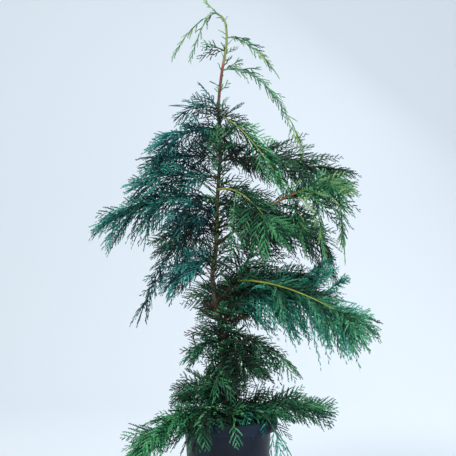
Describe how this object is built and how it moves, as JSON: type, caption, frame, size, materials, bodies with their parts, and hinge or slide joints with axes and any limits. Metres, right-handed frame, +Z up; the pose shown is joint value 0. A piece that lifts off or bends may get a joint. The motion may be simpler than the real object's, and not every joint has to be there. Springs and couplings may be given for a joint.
{
  "type": "potted leyland cypress",
  "caption": "Young leyland cypress with a nodding tip, whippy boughs and flat sprays of scale leaves, in a round black nursery pot",
  "frame": {"origin": "centre of the flat underside of the pot, where it stands on level ground", "axes": "+Z up along the trunk, +X to the viewer's right in the picture, +Y away from the viewer"},
  "size_m": [0.5463, 0.4085, 1.0054],
  "materials": {
    "pot_plastic": "blue-black injection-moulded polypropylene, satin, dusty",
    "compost": "moist dark peat-free compost, crumbly and matt",
    "bark": "smooth young bark, reddish brown to olive green, matt",
    "foliage_mid_green": "flat sprays of scale leaves, mid green, slightly waxy",
    "foliage_deep_green": "flat sprays of older scale leaves, deep green",
    "foliage_blue_green": "flat sprays of scale leaves, blue green, slightly waxy",
    "foliage_teal_green": "flat sprays of scale leaves, bright teal green",
    "foliage_bright_green": "flat sprays of scale leaves, bright fresh green",
    "foliage_young_green": "young whippy shoots, yellow green"
  },
  "bodies": {
    "root": {"bough_back_bottom": "bark", "bough_back_left": "bark", "bough_back_low": "bark", "bough_back_right": "bark", "bough_back_upper": "bark", "bough_bottom_left": "bark", "bough_bottom_right": "bark", "bough_bright_right": "bark", "bough_dark_arch": "bark", "bough_front_right": "bark", "bough_left_hanging": "bark", "bough_left_main": "bark", "bough_left_three": "bark", "bough_left_two": "bark", "bough_low_right_back": "bark", "bough_low_right_front": "bark", "bough_low_right_outer": "bark", "bough_middle_right": "bark", "bough_rising_right": "bark", "compost": "compost", "foliage_back_bottom": "foliage_deep_green", "foliage_back_left": "foliage_deep_green", "foliage_back_low": "foliage_mid_green", "foliage_back_right": "foliage_mid_green", "foliage_back_upper": "foliage_deep_green", "foliage_bottom_left": "foliage_bright_green", "foliage_bottom_right": "foliage_mid_green", "foliage_bright_right": "foliage_bright_green", "foliage_dark_arch": "foliage_deep_green", "foliage_drooping_right": "foliage_mid_green", "foliage_front_low": "foliage_mid_green", "foliage_front_right": "foliage_mid_green", "foliage_inner_right": "foliage_deep_green", "foliage_left_bottom": "foliage_mid_green", "foliage_left_hanging": "foliage_deep_green", "foliage_left_inner": "foliage_mid_green", "foliage_left_inner_high": "foliage_deep_green", "foliage_left_low": "foliage_blue_green", "foliage_left_main": "foliage_bright_green", "foliage_left_one": "foliage_blue_green", "foliage_left_three": "foliage_mid_green", "foliage_left_two": "foliage_deep_green", "foliage_low_right_back": "foliage_deep_green", "foliage_low_right_front": "foliage_bright_green", "foliage_low_right_outer": "foliage_teal_green", "foliage_middle_right": "foliage_deep_green", "foliage_over_rim_front": "foliage_bright_green", "foliage_over_rim_left": "foliage_mid_green", "foliage_over_rim_right": "foliage_teal_green", "foliage_right_whip": "foliage_young_green", "foliage_rising_right": "foliage_young_green", "foliage_second_top": "foliage_mid_green", "foliage_tip": "foliage_young_green", "foliage_top_arch": "foliage_young_green", "foliage_upper_left": "foliage_blue_green", "foliage_upper_sprays": "foliage_mid_green", "pot": "pot_plastic", "second_limb": "bark", "trunk": "bark"}
  },
  "joints": []
}
